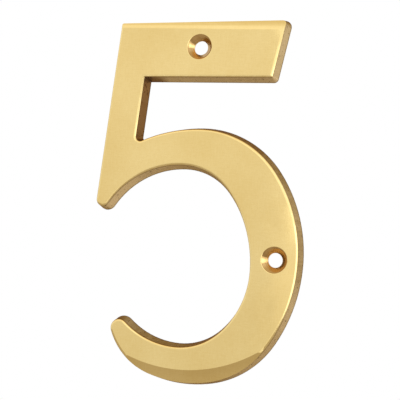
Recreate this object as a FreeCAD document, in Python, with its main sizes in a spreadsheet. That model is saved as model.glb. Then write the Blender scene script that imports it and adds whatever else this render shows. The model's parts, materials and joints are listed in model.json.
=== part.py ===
import FreeCAD, Part
import os
import Sketcher
from math import cos, pi, radians, sin, sqrt, tan

# Cast brass door number: the figure 5, screwed flat on a door through two
# countersunk holes.  One casting, hollow at the back inside a rim that lies on
# the door.  +Z is up, +X is to the reader's right and the face looks to -Y.
# The origin is on the upper screw hole's axis, in the plane of the back rim.

doc = FreeCAD.newDocument("door_number")
SKETCH_NORMAL = FreeCAD.Vector(0, 0, 1)
ORIGIN = (-1, 1)
HALF_TURN = 180

# Driving sizes, in millimetres and degrees, taken at the back rim
sheet = doc.addObject("Spreadsheet::Sheet", "Sizes")
values = {
    "overall_height": 102.0,
    "thickness": 4.0,
    "draft_angle": 12.0,
    "edge_width": 0.45,
    "edge_drop": 0.2,
    # cross bar, stem and the gap between them
    "hole_below_top": 8.13,
    "bar_left": 24.8,
    "bar_right": 25.5,
    "bar_slope": 0.35,
    "bar_height": 17.5,
    "bar_end_angle": 79.4,
    "bar_gap": 13.1,
    "stem_angle": 85.85,
    "stem_width": 10.8,
    "top_left_radius": 0.5,
    "top_right_radius": 1.1,
    "bar_tip_radius": 0.5,
    "notch_radius": 0.6,
    # outside of the bowl, from the notch round to the hook
    "crown_x": 1.95,
    "arch_radius": 42.9,
    "shoulder_turn": 54.2,
    "bowl_right": 32.6,
    "lower_turn": 46.1,
    "base_x": 1.5,
    "base_radius": 35.6,
    "base_turn": 12.8,
    "heel_turn": 16.3,
    "hook_left": 17.85,
    "hook_height": 13.85,
    "hook_radius": 3.3,
    # inside of the bowl, from the hook back to the stem's foot
    "inner_base_left": 0.9,
    "base_depth": 10.95,
    "inner_lower_turn": 44.2,
    "side_depth": 14.55,
    "inner_mid_drop": 3.3,
    "inner_shoulder_turn": 50.7,
    "inner_crown_left": 2.6,
    "crown_depth": 11.8,
    "foot_drop": 21.65,
    "foot_radius": 2.75,
    # face rolled off by polishing, along the bar's top and under the bowl
    "top_roll_width": 3.1,
    "top_roll_slope": 0.9,
    "top_roll_crease": 8.0,
    "top_roll_radius": 12.0,
    "base_roll_left": 0.35,
    "base_roll_width": 4.1,
    "base_roll_curve": 42.2,
    "base_roll_crease": 7.0,
    "base_roll_radius": 16.0,
    # hollow back
    "rim_width": 1.6,
    "web": 2.0,
    "recess_corner_radius": 0.9,
    # screw holes
    "bore_diameter": 4.0,
    "countersink_diameter": 7.2,
    "countersink_angle": 90.0,
    "lower_hole_from_right": 7.2,
}
for row, (name, value) in enumerate(values.items(), start=1):
    sheet.set("A%d" % row, name.replace("_", " "))
    sheet.set("B%d" % row, str(value))
    sheet.setAlias("B%d" % row, name)
doc.recompute()


def size(name):
    return float(sheet.get(name))


def evaluate(formula):
    return float(sheet.evalExpression(formula))


def plane(body, role):
    return [item for item in body.Origin.OriginFeatures if item.Role == role][0]


def centre_of(edge):
    """A circle's or arc's centre, as a constraint names it."""
    return (edge, 3)


def at(x, z):
    return FreeCAD.Vector(x, z, 0)


def toward(origin, target, distance):
    return origin + (target - origin).normalize() * distance


def arc_between(centre, start, finish, clockwise):
    """Arc of a circle; the ends change places when it is drawn clockwise."""
    circle = Part.Circle(centre, SKETCH_NORMAL, (start - centre).Length)
    first, last = (finish, start) if clockwise else (start, finish)
    return Part.ArcOfCircle(circle, circle.parameter(first), circle.parameter(last))


def arc_pair(run_x, run_z, start, turn):
    """Radii of two tangent arcs: one turns on from the start angle, the other ends upright."""
    a = radians(start)
    b = radians(start + turn)
    share = (sin(b) - sin(a)) * cos(b) - (1 - sin(b)) * (cos(a) - cos(b))
    first = (run_x * cos(b) - run_z * (1 - sin(b))) / share
    second = (run_z * (sin(b) - sin(a)) - run_x * (cos(a) - cos(b))) / share
    return first, second


def draw_outline(body, name, inset, corner_formulas, height):
    """The figure's outline, drawn in from the rim's by an inset, at a height above the door."""
    sketch = body.newObject("Sketcher::SketchObject", name)
    sketch.AttachmentSupport = [(plane(body, "XZ_Plane"), "")]
    sketch.MapMode = "FlatFace"
    sketch.setExpression("AttachmentOffset.Base.z", height)
    gap = evaluate(inset)

    def settle(formula):
        """A formula with this outline's own inset, and the tilt of the bar's top edge."""
        return formula.replace("tilt", "(Sizes.bar_slope * 1 deg)").replace("inset", "(%s)" % inset)

    # ends of the bar's top edge, where each inset edge meets the next
    left_half = "tan((Sizes.stem_angle - Sizes.bar_slope) / 2 * 1 deg)"
    right_half = "tan((Sizes.bar_end_angle - Sizes.bar_slope) / 2 * 1 deg)"
    left_reach = settle("Sizes.bar_left - inset * (%s * cos(tilt) + sin(tilt))" % left_half)
    right_reach = settle("Sizes.bar_right - inset * (cos(tilt) / %s - sin(tilt))" % right_half)
    right_rise = settle("Sizes.hole_below_top - inset * (sin(tilt) / %s + cos(tilt))" % right_half)

    # levels and key points
    under = size("hole_below_top") - size("bar_height") + gap
    crown_z = under - size("bar_gap") - 2 * gap
    base_z = size("hole_below_top") - size("overall_height") + gap
    mid_z = (crown_z + base_z) / 2
    slope = radians(size("bar_slope"))
    stem = radians(size("stem_angle"))
    end = radians(size("bar_end_angle"))
    up = at(cos(stem), sin(stem))
    across = at(sin(stem), -cos(stem))
    right_corner = at(evaluate(right_reach), evaluate(right_rise))
    bar_length = right_corner.x + evaluate(left_reach)
    left_corner = right_corner - at(1, tan(slope)) * bar_length
    tip_corner = right_corner - at(1 / tan(end), 1) * (right_corner.y - under)
    stem_width = size("stem_width") - 2 * gap
    inner_start = left_corner + across * stem_width
    inner_corner = inner_start + up * ((under - inner_start.y) / up.y)
    crown = at(size("crown_x"), crown_z)
    right = at(size("bowl_right") - gap, mid_z)
    base = at(size("base_x"), base_z)
    inner_base = at(-size("inner_base_left"), base_z + size("base_depth") - 2 * gap)
    inner_right = right - at(size("side_depth") - 2 * gap, size("inner_mid_drop"))
    inner_crown = at(-size("inner_crown_left"), crown_z - size("crown_depth") + 2 * gap)

    chain = []

    def line(start, finish):
        index = sketch.addGeometry(Part.LineSegment(start, finish))
        chain.append((index, 1, 2))
        return index

    def arc(centre, start, finish, clockwise=True):
        index = sketch.addGeometry(arc_between(centre, start, finish, clockwise))
        chain.append((index, 2, 1) if clockwise else (index, 1, 2))
        return index

    def rounded(before, corner, after, radius):
        """Start, centre and finish of the arc that rounds a corner."""
        half = (before - corner).getAngle(after - corner) / 2
        start = toward(corner, before, radius / tan(half))
        finish = toward(corner, after, radius / tan(half))
        return start, toward(corner, (start + finish) * 0.5, radius / sin(half)), finish

    # the foot of the stem
    foot_radius = size("foot_radius") - gap
    foot_start = left_corner + across * foot_radius
    foot_z = crown_z + gap - size("foot_drop")
    foot_centre = foot_start + up * ((foot_z - foot_start.y) / up.y)

    # stem and bar, with their three outer corners
    corner_radii = [evaluate(formula) for formula in corner_formulas]
    top_left = rounded(foot_centre - across * foot_radius, left_corner, right_corner, corner_radii[0])
    top_right = rounded(left_corner, right_corner, tip_corner, corner_radii[1])
    tip = rounded(right_corner, tip_corner, inner_corner, corner_radii[2])
    stem_outer = line(foot_centre - across * foot_radius, top_left[0])
    left_arc = arc(top_left[1], top_left[0], top_left[2])
    bar_top = line(top_left[2], top_right[0])
    right_arc = arc(top_right[1], top_right[0], top_right[2])
    bar_end = line(top_right[2], tip[0])
    tip_arc = arc(tip[1], tip[0], tip[2])
    bar_under = line(tip[2], inner_corner)

    # notch between the stem and the arch
    arch_radius = size("arch_radius") - gap
    notch_radius = size("notch_radius") + gap
    arch_centre = crown - at(0, arch_radius)
    offset = inner_corner + across * notch_radius - arch_centre
    apart = arch_radius + notch_radius
    rise = sqrt(offset.dot(up) ** 2 - offset.dot(offset) + apart ** 2) - offset.dot(up)
    notch_centre = arch_centre + offset + up * rise
    notch_start = notch_centre - across * notch_radius
    notch_finish = toward(arch_centre, notch_centre, arch_radius)
    stem_inner = line(inner_corner, notch_start)
    notch_arc = arc(notch_centre, notch_start, notch_finish, clockwise=False)

    # outside of the bowl
    arch = arc(arch_centre, notch_finish, crown)
    turn = radians(size("shoulder_turn"))
    shoulder_radius, side_radius = arc_pair(
        right.x - crown.x, crown.y - right.y, 0, size("shoulder_turn"))
    shoulder_centre = crown - at(0, shoulder_radius)
    joint = shoulder_centre + at(sin(turn), cos(turn)) * shoulder_radius
    shoulder = arc(shoulder_centre, crown, joint)
    side_upper = arc(right - at(side_radius, 0), joint, right)
    base_radius = size("base_radius") - gap
    base_centre = base + at(0, base_radius)
    turn = radians(size("base_turn"))
    base_end = base_centre + at(sin(turn), -cos(turn)) * base_radius
    lower_radius, side_radius = arc_pair(
        right.x - base_end.x, right.y - base_end.y, size("base_turn"), size("lower_turn"))
    lower_centre = toward(base_end, base_centre, lower_radius)
    turn = radians(size("base_turn") + size("lower_turn"))
    joint = lower_centre + at(sin(turn), -cos(turn)) * lower_radius
    side_lower = arc(right - at(side_radius, 0), right, joint)
    lower = arc(lower_centre, joint, base_end)
    base_right = arc(base_centre, base_end, base)
    turn = radians(size("heel_turn"))
    inward = at(sin(turn), cos(turn))
    heel_start = base_centre - inward * base_radius
    base_heel = arc(base_centre, base, heel_start)

    # heel, hook and the way back inside it
    hook_radius = size("hook_radius") - gap
    hook_centre = at(-size("hook_left"), base_z - gap + size("hook_height"))
    reach = heel_start - hook_centre
    heel_radius = (hook_radius ** 2 - reach.dot(reach)) / (2 * (hook_radius + inward.dot(reach)))
    heel_centre = heel_start + inward * heel_radius
    heel_finish = toward(heel_centre, hook_centre, heel_radius)
    heel = arc(heel_centre, heel_start, heel_finish)
    reach = inner_base - hook_centre
    inside_radius = (reach.dot(reach) - hook_radius ** 2) / (2 * (hook_radius - reach.y))
    inside_centre = inner_base + at(0, inside_radius)
    hook_finish = toward(hook_centre, inside_centre, hook_radius)
    hook = arc(hook_centre, heel_finish, hook_finish)
    arc(inside_centre, hook_finish, inner_base, clockwise=False)

    # inside of the bowl
    turn = radians(size("inner_lower_turn"))
    lower_radius, side_radius = arc_pair(
        inner_right.x - inner_base.x, inner_right.y - inner_base.y, 0, size("inner_lower_turn"))
    lower_centre = inner_base + at(0, lower_radius)
    joint = lower_centre + at(sin(turn), -cos(turn)) * lower_radius
    inner_lower = arc(lower_centre, inner_base, joint, clockwise=False)
    inner_side = arc(inner_right - at(side_radius, 0), joint, inner_right, clockwise=False)
    turn = radians(size("inner_shoulder_turn"))
    shoulder_radius, side_radius = arc_pair(
        inner_right.x - inner_crown.x, inner_crown.y - inner_right.y, 0, size("inner_shoulder_turn"))
    shoulder_centre = inner_crown - at(0, shoulder_radius)
    joint = shoulder_centre + at(sin(turn), cos(turn)) * shoulder_radius
    arc(inner_right - at(side_radius, 0), inner_right, joint, clockwise=False)
    inner_shoulder = arc(shoulder_centre, joint, inner_crown, clockwise=False)
    reach = inner_crown - foot_centre
    inside_radius = (reach.dot(reach) - foot_radius ** 2) / (2 * (foot_radius + reach.y))
    inside_centre = inner_crown - at(0, inside_radius)
    foot_tangent = toward(foot_centre, inside_centre, foot_radius)
    arc(inside_centre, inner_crown, foot_tangent, clockwise=False)
    foot = arc(foot_centre, foot_tangent, foot_centre - across * foot_radius)

    # every edge runs smoothly into the next, except where the bar meets the stem
    for (first, _, leave), (second, enter, _) in zip(chain, chain[1:] + chain[:1]):
        kind = "Coincident" if first == bar_under else "Tangent"
        sketch.addConstraint(Sketcher.Constraint(kind, first, leave, second, enter))
    corners = []
    for corner, edges in ((left_corner, (stem_outer, bar_top)), (right_corner, (bar_top, bar_end))):
        corners.append((sketch.addGeometry(Part.Point(corner), True), 1))
        for edge in edges:
            sketch.addConstraint(Sketcher.Constraint("PointOnObject", *corners[-1], edge))

    # directions
    crown_at = (arch, 1)
    right_at = (side_upper, 1)
    base_at = (base_right, 1)
    inner_base_at = (inner_lower, 1)
    inner_right_at = (inner_side, 2)
    inner_crown_at = (inner_shoulder, 2)
    sketch.addConstraint(Sketcher.Constraint("Horizontal", bar_under))
    sketch.addConstraint(Sketcher.Constraint("Parallel", stem_inner, stem_outer))
    sketch.addConstraint(Sketcher.Constraint("Equal", base_right, base_heel))
    for point in (crown_at, base_at, inner_base_at, inner_crown_at):
        sketch.addConstraint(Sketcher.Constraint("Vertical", *centre_of(point[0]), *point))
    for point in (right_at, inner_right_at):
        sketch.addConstraint(Sketcher.Constraint("Horizontal", *centre_of(point[0]), *point))

    def bind(kind, items, number, formula):
        """A dimension that follows the sheet."""
        index = sketch.addConstraint(Sketcher.Constraint(kind, *items, number))
        sketch.setExpression("Constraints[%d]" % index, settle(formula))

    # angles and radii
    bind("Angle", (bar_top,), slope, "tilt")
    bind("Angle", (stem_outer,), stem, "Sizes.stem_angle * 1 deg")
    bind("Angle", (bar_end,), end - pi, "(Sizes.bar_end_angle - 180) * 1 deg")
    for edge, alias in (
            (shoulder, "shoulder_turn"),
            (lower, "lower_turn"),
            (base_right, "base_turn"),
            (base_heel, "heel_turn"),
            (inner_lower, "inner_lower_turn"),
            (inner_shoulder, "inner_shoulder_turn")):
        bind("Angle", (edge,), radians(size(alias)), "Sizes.%s * 1 deg" % alias)
    for edge, radius, formula in zip((left_arc, right_arc, tip_arc), corner_radii, corner_formulas):
        bind("Radius", (edge,), radius, formula)
    for edge, alias, growth in (
            (notch_arc, "notch_radius", 1),
            (arch, "arch_radius", -1),
            (base_right, "base_radius", -1),
            (hook, "hook_radius", -1),
            (foot, "foot_radius", -1)):
        bind("Radius", (edge,), size(alias) + growth * gap, "Sizes.%s + %d * inset" % (alias, growth))

    # widths, from left to right
    for start, finish, formula in (
            (corners[0], ORIGIN, left_reach),
            (ORIGIN, corners[1], right_reach),
            (ORIGIN, crown_at, "Sizes.crown_x"),
            (ORIGIN, right_at, "Sizes.bowl_right - inset"),
            (ORIGIN, base_at, "Sizes.base_x"),
            (centre_of(hook), ORIGIN, "Sizes.hook_left"),
            (inner_base_at, ORIGIN, "Sizes.inner_base_left"),
            (inner_right_at, right_at, "Sizes.side_depth - 2 * inset"),
            (inner_crown_at, ORIGIN, "Sizes.inner_crown_left")):
        reach = sketch.getPoint(*finish) - sketch.getPoint(*start)
        bind("DistanceX", start + finish, reach.x, formula)
    bind("Distance", (stem_inner, 1, stem_outer), stem_width, "Sizes.stem_width - 2 * inset")

    # heights, from below to above
    for start, finish, formula in (
            (ORIGIN, corners[1], right_rise),
            ((bar_under, 1), ORIGIN, "Sizes.bar_height - Sizes.hole_below_top - inset"),
            (crown_at, (bar_under, 1), "Sizes.bar_gap + 2 * inset"),
            (right_at, crown_at,
             "(Sizes.overall_height - Sizes.bar_height - Sizes.bar_gap) / 2 - inset"),
            (base_at, ORIGIN, "Sizes.overall_height - Sizes.hole_below_top - inset"),
            (base_at, centre_of(hook), "Sizes.hook_height - inset"),
            (base_at, inner_base_at, "Sizes.base_depth - 2 * inset"),
            (inner_right_at, right_at, "Sizes.inner_mid_drop"),
            (inner_crown_at, crown_at, "Sizes.crown_depth - 2 * inset"),
            (centre_of(foot), crown_at, "Sizes.foot_drop - inset")):
        reach = sketch.getPoint(*finish) - sketch.getPoint(*start)
        bind("DistanceY", start + finish, reach.y, formula)
    return sketch


body = doc.addObject("PartDesign::Body", "Numeral")
body.Label = "numeral_five"

# The casting: its sides are drafted, and polishing has dubbed over the edge of its face
side_height = "Sizes.thickness - Sizes.edge_drop"
side_inset = "(%s) * tan(Sizes.draft_angle * 1 deg)" % side_height
face_inset = "%s + Sizes.edge_width" % side_inset
face_corners = ["Sizes.top_left_radius", "Sizes.top_right_radius", "Sizes.bar_tip_radius"]
rim_corners = ["%s + %s" % (radius, side_inset) for radius in face_corners]
rim = draw_outline(body, "Rim", "0", rim_corners, "0")
side_top = draw_outline(body, "SideTop", side_inset, face_corners, side_height)
face = draw_outline(body, "Face", face_inset, face_corners, "Sizes.thickness")
doc.recompute()
casting = body.newObject("PartDesign::AdditiveLoft", "Casting")
casting.Profile = rim
casting.Sections = [side_top, face]
casting.Ruled = True
doc.recompute()


# Where the face was rolled off by polishing: an arc that leaves the face at a shallow crease
def draw_roll(alias, start, offset, along):
    """Section to cut away: x runs to the door, and the roll starts on the face, along y."""
    radius = alias + "_radius"
    crease = alias + "_crease"
    sketch = body.newObject("Sketcher::SketchObject", alias + "_section")
    sketch.AttachmentSupport = [(plane(body, "YZ_Plane"), "")]
    sketch.MapMode = "FlatFace"
    for item, formula in offset.items():
        sketch.setExpression("AttachmentOffset." + item, formula)
    depth = size("thickness")
    bend = size(radius)
    fall = radians(size(crease))
    begin = at(-depth, along * evaluate(start))
    centre = begin + at(cos(fall), -along * sin(fall)) * bend
    finish = centre + at(0, along * bend)
    outer = at(-depth - bend, finish.y)
    inner = at(outer.x, begin.y)
    upward = along > 0
    arc = sketch.addGeometry(arc_between(centre, begin, finish, upward))
    begin_at, finish_at = ((arc, 2), (arc, 1)) if upward else ((arc, 1), (arc, 2))
    end_line = sketch.addGeometry(Part.LineSegment(finish, outer))
    outer_line = sketch.addGeometry(Part.LineSegment(outer, inner))
    start_line = sketch.addGeometry(Part.LineSegment(inner, begin))
    spoke = sketch.addGeometry(Part.LineSegment(begin, centre), True)
    for kind, items in (
            ("Coincident", finish_at + (end_line, 1)),
            ("Coincident", (end_line, 2, outer_line, 1)),
            ("Coincident", (outer_line, 2, start_line, 1)),
            ("Coincident", (start_line, 2) + begin_at),
            ("Coincident", (spoke, 1) + begin_at),
            ("Coincident", (spoke, 2) + centre_of(arc)),
            ("Horizontal", (end_line,)),
            ("Vertical", (outer_line,)),
            ("Horizontal", (start_line,)),
            ("Vertical", centre_of(arc) + finish_at)):
        sketch.addConstraint(Sketcher.Constraint(kind, *items))
    rise = ORIGIN + begin_at if upward else begin_at + ORIGIN
    for kind, items, number, formula in (
            ("Radius", (arc,), bend, "Sizes." + radius),
            ("Angle", (spoke,), -along * fall, "%d * Sizes.%s * 1 deg" % (-along, crease)),
            ("DistanceX", (outer_line, 1) + begin_at, bend, "Sizes." + radius),
            ("DistanceX", begin_at + ORIGIN, depth, "Sizes.thickness"),
            ("DistanceY", rise, evaluate(start), start)):
        index = sketch.addConstraint(Sketcher.Constraint(kind, *items, number))
        sketch.setExpression("Constraints[%d]" % index, formula)
    return sketch


top_start = "Sizes.hole_below_top - Sizes.top_roll_width"
top_tilt = {
    "Rotation.Axis.x": "1",
    "Rotation.Axis.z": "0",
    "Rotation.Angle": "Sizes.top_roll_slope * 1 deg",
}
top_section = draw_roll("top_roll", top_start, top_tilt, 1)
top_roll = body.newObject("PartDesign::Pocket", "TopRoll")
top_roll.Profile = top_section
top_roll.Type = "ThroughAll"
top_roll.Midplane = True
base_level = "Sizes.hole_below_top - Sizes.overall_height + Sizes.base_roll_width"
base_centre = {
    "Base.y": base_level + " + Sizes.base_roll_curve",
    "Base.z": "-Sizes.base_roll_left",
}
base_section = draw_roll("base_roll", "Sizes.base_roll_curve", base_centre, -1)
base_roll = body.newObject("PartDesign::Groove", "BaseRoll")
base_roll.Profile = base_section
base_roll.ReferenceAxis = (base_section, ["H_Axis"])
base_roll.Midplane = True
base_roll.Angle = HALF_TURN
doc.recompute()

# Hollow back inside the rim, with the same draft
recess_corners = ["Sizes.recess_corner_radius"] * 3
floor_height = "Sizes.thickness - Sizes.web"
floor_inset = "Sizes.rim_width + (%s) * tan(Sizes.draft_angle * 1 deg)" % floor_height
mouth = draw_outline(body, "RecessMouth", "Sizes.rim_width", recess_corners, "0")
floor = draw_outline(body, "RecessFloor", floor_inset, recess_corners, floor_height)
recess = body.newObject("PartDesign::SubtractiveLoft", "Recess")
recess.Profile = mouth
recess.Sections = [floor]
recess.Ruled = True
doc.recompute()

# Two screw holes, countersunk from the face; the lower one is level with the bowl's middle
centres = body.newObject("Sketcher::SketchObject", "HoleCentres")
centres.AttachmentSupport = [(plane(body, "XZ_Plane"), "")]
centres.MapMode = "FlatFace"
centres.setExpression("AttachmentOffset.Base.z", "Sizes.thickness")
bore_radius = size("bore_diameter") / 2
lower_across = "Sizes.bowl_right - Sizes.lower_hole_from_right"
lower_drop = "(Sizes.overall_height + Sizes.bar_height + Sizes.bar_gap) / 2 - Sizes.hole_below_top"
lower_centre = at(evaluate(lower_across), -evaluate(lower_drop))
upper = centres.addGeometry(Part.Circle(at(0, 0), SKETCH_NORMAL, bore_radius))
lower = centres.addGeometry(Part.Circle(lower_centre, SKETCH_NORMAL, bore_radius))
centres.addConstraint(Sketcher.Constraint("Coincident", *centre_of(upper), *ORIGIN))
centres.addConstraint(Sketcher.Constraint("Equal", upper, lower))
for kind, items, number, formula in (
        ("Diameter", (upper,), size("bore_diameter"), "Sizes.bore_diameter"),
        ("DistanceX", centre_of(upper) + centre_of(lower), evaluate(lower_across), lower_across),
        ("DistanceY", centre_of(lower) + centre_of(upper), evaluate(lower_drop), lower_drop)):
    index = centres.addConstraint(Sketcher.Constraint(kind, *items, number))
    centres.setExpression("Constraints[%d]" % index, formula)
doc.recompute()
holes = body.newObject("PartDesign::Hole", "ScrewHoles")
holes.Profile = centres
holes.DepthType = "ThroughAll"
holes.HoleCutType = "Countersink"
holes.HoleCutCustomValues = True
holes.setExpression("Diameter", "Sizes.bore_diameter")
holes.setExpression("HoleCutDiameter", "Sizes.countersink_diameter")
holes.setExpression("HoleCutCountersinkAngle", "Sizes.countersink_angle * 1 deg")
doc.recompute()

# Every feature has to be sound before the shape is written
broken = [item.Name for item in doc.Objects if "Invalid" in item.State or "Error" in item.State]
if broken or body.Shape.isNull() or not body.Shape.isValid():
    raise RuntimeError("the model is not sound: %s" % broken)
os.makedirs("parts", exist_ok=True)
body.Shape.exportStep("parts/%s.step" % body.Label)
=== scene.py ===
import json
from math import radians

import bmesh
import bpy
from mathutils import Matrix, Vector


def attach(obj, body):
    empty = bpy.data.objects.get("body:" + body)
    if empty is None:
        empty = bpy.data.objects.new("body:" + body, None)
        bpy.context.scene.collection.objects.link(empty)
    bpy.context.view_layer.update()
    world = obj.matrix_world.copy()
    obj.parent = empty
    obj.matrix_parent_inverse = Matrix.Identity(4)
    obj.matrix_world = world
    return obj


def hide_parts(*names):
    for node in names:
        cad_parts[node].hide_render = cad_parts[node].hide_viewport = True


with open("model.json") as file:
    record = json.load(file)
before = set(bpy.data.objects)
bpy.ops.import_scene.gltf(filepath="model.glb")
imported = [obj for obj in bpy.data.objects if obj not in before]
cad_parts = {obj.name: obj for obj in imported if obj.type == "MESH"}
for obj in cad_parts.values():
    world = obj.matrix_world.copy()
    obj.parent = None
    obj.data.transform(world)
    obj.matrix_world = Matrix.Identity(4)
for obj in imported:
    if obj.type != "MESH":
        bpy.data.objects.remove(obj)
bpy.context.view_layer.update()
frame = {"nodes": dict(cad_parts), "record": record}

# The casting
# The figure 5, poured in brass as one piece and hollow at the back.  Its face and edges are
# polished on a wheel, its sides stay as filed, and its two screw holes are countersunk by a drill.
HOLE_AXES = [Vector((mount["pos_m"][0], mount["pos_m"][2]))
             for mount in frame["record"]["mounts"] if mount["kind"] == "bore"]
COUNTERSINK_REACH = 0.00375
FACET_BACK = -0.0038
MERGE_DISTANCE = 1e-6
FLAT_ANGLE = radians(0.1)
DUBBED_ANGLE = radians(12)
SHARP_ANGLE = radians(28)
FACE_NORMAL = -0.9999
FACET_NORMAL = -0.96
FACE_EDGE_WIDTH = 0.0003
HOLE_EDGE_WIDTH = 0.00012
POLISHED, DUBBED, FILED, TURNED, CAST = range(5)


def linear(red, green, blue):
    """A colour as the eye reads it, 0 to 255, in the shader's own scale."""
    def channel(value):
        value /= 255
        return value / 12.92 if value <= 0.04045 else ((value + 0.055) / 1.055) ** 2.4
    return (channel(red), channel(green), channel(blue), 1.0)


class Wire:
    """A socket that can be used in sums: each operator adds a Math node."""

    def __init__(self, finish, socket):
        self.finish = finish
        self.socket = socket

    def math(self, operation, *values):
        return self.finish.node("Math", {"operation": operation}, dict(enumerate(values)))["Value"]

    def __add__(self, other):
        return self.math("ADD", self, other)

    def __radd__(self, other):
        return self.math("ADD", other, self)

    def __sub__(self, other):
        return self.math("SUBTRACT", self, other)

    def __rsub__(self, other):
        return self.math("SUBTRACT", other, self)

    def __mul__(self, other):
        return self.math("MULTIPLY", self, other)

    def __rmul__(self, other):
        return self.math("MULTIPLY", other, self)

    def __pow__(self, other):
        return self.math("POWER", self, other)

    def lowest(self, other):
        return self.math("MINIMUM", self, other)

    def ramp(self, start, finish):
        """0 at the start value, 1 at the finish value, smooth between them."""
        sockets = {"Value": self, "From Min": start, "From Max": finish}
        return self.finish.node("MapRange", {"interpolation_type": "SMOOTHSTEP"}, sockets)["Result"]


class Finish:
    """The nodes of one material or of the world."""

    def __init__(self, owner):
        owner.use_nodes = True
        self.tree = owner.node_tree
        self.tree.nodes.clear()

    def node(self, kind, settings={}, sockets={}):
        made = self.tree.nodes.new("ShaderNode" + kind)
        for name, value in settings.items():
            setattr(made, name, value)
        for name, value in sockets.items():
            if isinstance(value, Wire):
                self.tree.links.new(value.socket, made.inputs[name])
            else:
                made.inputs[name].default_value = value
        return {output.name: Wire(self, output) for output in made.outputs if output.enabled}

    def axes(self, output="Object"):
        """X, Y and Z of a point of the casting in metres, or of its normal."""
        return self.node("SeparateXYZ", {}, {"Vector": self.node("TexCoord")[output]})

    def grain(self, scale, detail=2.0, roughness=0.5):
        """Noise, stretched by a scale for each direction."""
        place = self.node("TexCoord")["Object"]
        spread = self.node("Mapping", {}, {"Vector": place, "Scale": scale})["Vector"]
        sockets = {"Vector": spread, "Scale": 1.0, "Detail": detail, "Roughness": roughness}
        return self.node("TexNoise", {}, sockets)["Fac"]

    def blend(self, share, first, second):
        return self.node("Mix", {"data_type": "RGBA"}, {0: share, 6: first, 7: second})["Result"]

    def metal(self, colour, roughness, height, depth, glance=(1, 1, 1, 1)):
        """Bare metal; glance is how much of the light it throws back along its surface."""
        normal = self.node("Bump", {}, {"Strength": 1.0, "Distance": depth, "Height": height})["Normal"]
        sockets = {"Base Color": colour, "Metallic": 1.0, "Roughness": roughness, "Normal": normal,
                   "Specular Tint": glance}
        surface = self.node("BsdfPrincipled", {}, sockets)["BSDF"]
        self.node("OutputMaterial", {}, {"Surface": surface})


def polished_finish():
    material = bpy.data.materials.new("polished_brass")
    finish = Finish(material)
    scratches = finish.grain((2400, 500, 500), 3.0, 0.6) + finish.grain((500, 500, 2400), 3.0, 0.6) - 1.0
    cloud = finish.grain((45, 45, 45), 3.0)
    wave = finish.grain((110, 110, 110), 1.0)
    share = 0.5 + 0.7 * scratches + 1.6 * (cloud - 0.5)
    colour = finish.blend(share, linear(224, 194, 124), linear(237, 211, 146))
    roughness = 0.05 + 0.03 * scratches + 0.04 * (cloud - 0.5)
    finish.metal(colour, roughness, wave * 2.0 + scratches * 0.06, 0.00002)
    return material


def dubbed_finish():
    material = bpy.data.materials.new("dubbed_brass")
    finish = Finish(material)
    rub = finish.grain((700, 700, 700), 2.0)
    brass = finish.blend(rub, linear(228, 198, 126), linear(246, 224, 164))
    # Painted reflection: edges that face up are tinted orange, standing in for warm light from above.
    upward = finish.axes("Normal")["Z"].ramp(0.15, 0.4)
    rolled_painted_reflection = finish.blend(0.6 * upward, brass, linear(226, 180, 92))
    # Painted shade: a dark brown line at the back of the edge where it turns into the side, faint all
    # round and full where the edge faces up.
    turn = finish.axes()["Y"].ramp(-0.0039, -0.00382)
    colour = finish.blend((0.4 + 0.6 * upward) * turn, rolled_painted_reflection, linear(120, 76, 22))
    finish.metal(colour, 0.1 + 0.08 * rub, rub, 0.00001)
    return material


def filed_finish():
    material = bpy.data.materials.new("filed_brass")
    finish = Finish(material)
    place = finish.axes()
    facing = finish.axes("Normal")
    strokes = finish.grain((1150, 90, 1150), 2.0)
    cloud = finish.grain((150, 150, 150), 3.0)
    pits = finish.grain((1300, 1300, 1300), 1.0).ramp(0.66, 0.74)
    share = 0.5 + 0.9 * (strokes - 0.5) + 0.7 * (cloud - 0.5)
    side = finish.blend(share, linear(158, 130, 90), linear(206, 182, 138))
    # Painted shade: sides that face up are darker, standing in for the dim reflection from above.
    top_painted_shade = finish.blend(0.4 * facing["Z"].ramp(0.2, 0.8), side, linear(128, 100, 60))
    # Painted light: sides that face right or down, most of all those facing both, are lightened towards
    # pale brass, standing in for the lamps and floor they reflect.
    right_and_down_painted_light = 0.14 * facing["X"].ramp(0.5, 0.95) + 0.7 * facing["Z"].ramp(-0.1, -0.7)
    lower_right_painted_light = facing["X"].ramp(0.4, 0.8) * facing["Z"].ramp(-0.05, -0.35)
    with_painted_light_and_shade = finish.blend(right_and_down_painted_light + 0.8 * lower_right_painted_light, top_painted_shade, linear(242, 217, 170))
    # Painted shade: the sides in the recess under the bar, by the stem, are darkened as if in shadow.
    under_bar = place["Z"].ramp(-0.03, -0.026) * place["Z"].ramp(-0.0075, -0.0095)
    notch = place["X"].ramp(-0.0085, -0.0125) * place["X"].ramp(-0.022, -0.019) * under_bar
    with_notch_painted_shade = finish.blend(0.8 * notch, with_painted_light_and_shade, linear(118, 76, 38))
    # The sides are made darker in thin bands at their front and rear edges.
    front = place["Y"].ramp(-0.0033, -0.0038)
    rear = place["Y"].ramp(-0.0007, -0.0001)
    darker_front_and_rear = finish.blend(0.5 * front + 0.5 * rear, with_notch_painted_shade, linear(84, 58, 28))
    colour = finish.blend(0.6 * pits, darker_front_and_rear, linear(58, 38, 22))
    roughness = 0.3 + 0.16 * cloud + 0.1 * strokes
    finish.metal(colour, roughness, strokes * 0.6 + cloud * 0.5 - pits, 0.00005, linear(120, 90, 60))
    return material


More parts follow.
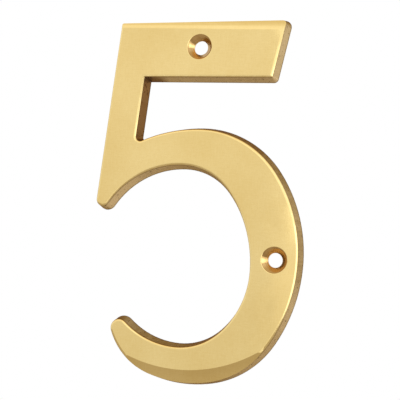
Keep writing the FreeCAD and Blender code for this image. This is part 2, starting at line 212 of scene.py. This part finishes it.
def turned_finish():
    material = bpy.data.materials.new("turned_brass")
    finish = Finish(material)
    place = finish.axes()
    radii = [((place["X"] - axis.x) ** 2 + (place["Z"] - axis.y) ** 2) ** 0.5 for axis in HOLE_AXES]
    radius = radii[0].lowest(radii[1])
    sockets = {"W": radius, "Scale": 6500.0, "Detail": 2.0}
    rings = finish.node("TexNoise", {"noise_dimensions": "1D"}, sockets)["Fac"]
    cloud = finish.grain((400, 400, 400))
    colour = finish.blend(rings + 0.6 * (cloud - 0.5), linear(144, 104, 56), linear(226, 190, 128))
    finish.metal(colour, 0.08 + 0.06 * rings, rings, 0.00001)
    return material


def cast_finish():
    material = bpy.data.materials.new("cast_brass")
    finish = Finish(material)
    sand = finish.grain((1500, 1500, 1500), 4.0, 0.6)
    cloud = finish.grain((90, 90, 90), 3.0)
    share = 0.5 + 1.0 * (sand - 0.5) + 1.0 * (cloud - 0.5)
    colour = finish.blend(share, linear(120, 92, 54), linear(190, 158, 104))
    finish.metal(colour, 0.5 + 0.2 * cloud, sand, 0.00008)
    return material


def region(face):
    """Which finish a face of the casting has."""
    centre = face.calc_center_median()
    from_holes = min((Vector((centre.x, centre.z)) - axis).length for axis in HOLE_AXES)
    if from_holes < COUNTERSINK_REACH and -0.9 < face.normal.y < 0.5:
        return TURNED
    if face.normal.y > 0.1:
        return CAST
    if face.normal.y > -0.5:
        return FILED
    depths = [corner.co.y for corner in face.verts]
    if abs(max(depths) - FACET_BACK) < MERGE_DISTANCE and face.normal.y > FACET_NORMAL:
        return DUBBED
    return POLISHED


def on_face(edge):
    """Whether an edge bounds the flat face."""
    return sum(face.normal.y < FACE_NORMAL for face in edge.link_faces) == 1


def soften(form, edges, width, segments):
    bmesh.ops.bevel(form, geom=edges, offset=width, offset_type="OFFSET", affect="EDGES",
                    segments=segments, profile=0.5, material=-1)


form = bmesh.new()
form.from_mesh(frame["nodes"]["numeral_five"].data)
bmesh.ops.remove_doubles(form, verts=form.verts, dist=MERGE_DISTANCE)
bmesh.ops.dissolve_limit(form, angle_limit=FLAT_ANGLE, verts=form.verts, edges=form.edges)
for face in form.faces:
    face.material_index = region(face)
    face.smooth = True
rims = []
dubbed = []
for edge in form.edges:
    turn = edge.calc_face_angle()
    edge.smooth = turn < SHARP_ANGLE
    if on_face(edge):
        edge.smooth = False
        finishes = {face.material_index for face in edge.link_faces}
        if TURNED in finishes:
            rims.append(edge)
        elif turn > DUBBED_ANGLE:
            dubbed.append(edge)
for edge in rims + dubbed:
    edge.smooth = True
soften(form, dubbed, FACE_EDGE_WIDTH, 4)
soften(form, [edge for edge in rims if edge.is_valid], HOLE_EDGE_WIDTH, 3)
figure_mesh = bpy.data.meshes.new("figure_five")
form.to_mesh(figure_mesh)
form.free()
for material in (polished_finish(), dubbed_finish(), filed_finish(), turned_finish(), cast_finish()):
    figure_mesh.materials.append(material)
figure = bpy.data.objects.new("figure_five", figure_mesh)
bpy.context.scene.collection.objects.link(figure)
weights = figure.modifiers.new("even_normals", "WEIGHTED_NORMAL")
weights.keep_sharp = True
weights.weight = 80
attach(figure, "root")
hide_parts("numeral_five")

# The studio
# A plain pale floor well below the figure, and a white room: a little dimmer low down, brighter
# above eye level and everywhere but at the left, warm overhead and plain white behind the figure.
# Three soft boxes stand at the right, and the camera is low and to the right of the figure.
FLOOR_HEIGHT = -0.6
FLOOR_HALF = 2.2
floor_form = bmesh.new()
floor_form.faces.new([floor_form.verts.new((x * FLOOR_HALF, y * FLOOR_HALF, FLOOR_HEIGHT))
                      for x, y in ((-1, -1), (1, -1), (1, 1), (-1, 1))])
floor_mesh = bpy.data.meshes.new("floor")
floor_form.to_mesh(floor_mesh)
floor_form.free()
floor = bpy.data.objects.new("floor", floor_mesh)
bpy.context.scene.collection.objects.link(floor)
floor_material = bpy.data.materials.new("pale_floor")
finish = Finish(floor_material)
paper = finish.node("BsdfDiffuse", {}, {"Color": (0.55, 0.5, 0.44, 1)})["BSDF"]
finish.node("OutputMaterial", {}, {"Surface": paper})
floor_mesh.materials.append(floor_material)

world = bpy.data.worlds.new("studio")
bpy.context.scene.world = world
finish = Finish(world)
way = finish.axes("Generated")
air = {name: finish.node("Background", {}, {"Color": colour, "Strength": strength})["Background"]
       for name, colour, strength in (
           ("low", (1, 1, 1, 1), 0.9),
           ("level", (1, 1, 1, 1), 1.04),
           ("bright", (1, 1, 1, 1), 1.25),
           ("overhead", (1.0, 0.92, 0.74, 1), 0.94),
           ("white", (1, 1, 1, 1), 1.0))}
room = air["low"]
for share, name in (
        (way["Z"].ramp(-0.2, 0.25), "level"),
        (way["Z"].ramp(0.3, 0.48), "bright"),
        (0.6 * way["X"].ramp(-0.245, -0.205), "bright"),
        (way["Z"].ramp(0.5, 0.85), "overhead"),
        (way["Y"].ramp(0.0, 0.4), "white")):
    room = finish.node("MixShader", {}, {0: share, 1: room, 2: air[name]})["Shader"]
finish.node("OutputWorld", {}, {"Surface": room})

DAYLIGHT = (0.8, 0.9, 1.0)
for name, place, target, roll, size, power in (
        ("soft_box_front", (0.231, -0.8, 0.186), (0.231, 0.0, 0.186), 6.5, (0.8, 0.33), 0.25),
        ("soft_box_right", (0.56, -0.5, -0.09), (0.01, 0.0, -0.043), 0, (1.1, 0.42), 1.5),
        ("soft_box_side", (0.77, -0.22, 0.06), (0.01, 0.0, -0.043), 0, (0.3, 0.36), 0.6)):
    lamp = bpy.data.lights.new(name, "AREA")
    lamp.shape = "RECTANGLE"
    lamp.size, lamp.size_y = size
    lamp.energy = power
    lamp.color = DAYLIGHT
    holder = bpy.data.objects.new(name, lamp)
    aim = (Vector(target) - Vector(place)).to_track_quat("-Z", "Y").to_matrix()
    holder.matrix_world = Matrix.LocRotScale(place, aim @ Matrix.Rotation(radians(roll), 3, "Z"), None)
    holder.visible_camera = False
    bpy.context.scene.collection.objects.link(holder)

CAMERA_PLACE = Vector((0.0828, -0.2453, -0.0607))
CAMERA_FORWARD = Vector((-0.3118, 0.9476, 0.0694)).normalized()
CAMERA_RIGHT = Vector((0.949, 0.307, 0.0721))
camera_data = bpy.data.cameras.new("camera")
camera_data.sensor_width = 36.0
camera_data.lens = 83.07
camera_data.clip_start = 0.01
camera = bpy.data.objects.new("camera", camera_data)
right = (CAMERA_RIGHT - CAMERA_FORWARD * CAMERA_RIGHT.dot(CAMERA_FORWARD)).normalized()
up = right.cross(CAMERA_FORWARD)
turn = Matrix((right, up, -CAMERA_FORWARD)).transposed()
camera.matrix_world = Matrix.Translation(CAMERA_PLACE) @ turn.to_4x4()
bpy.context.scene.collection.objects.link(camera)
bpy.context.scene.camera = camera
bpy.context.scene.view_settings.view_transform = "Standard"
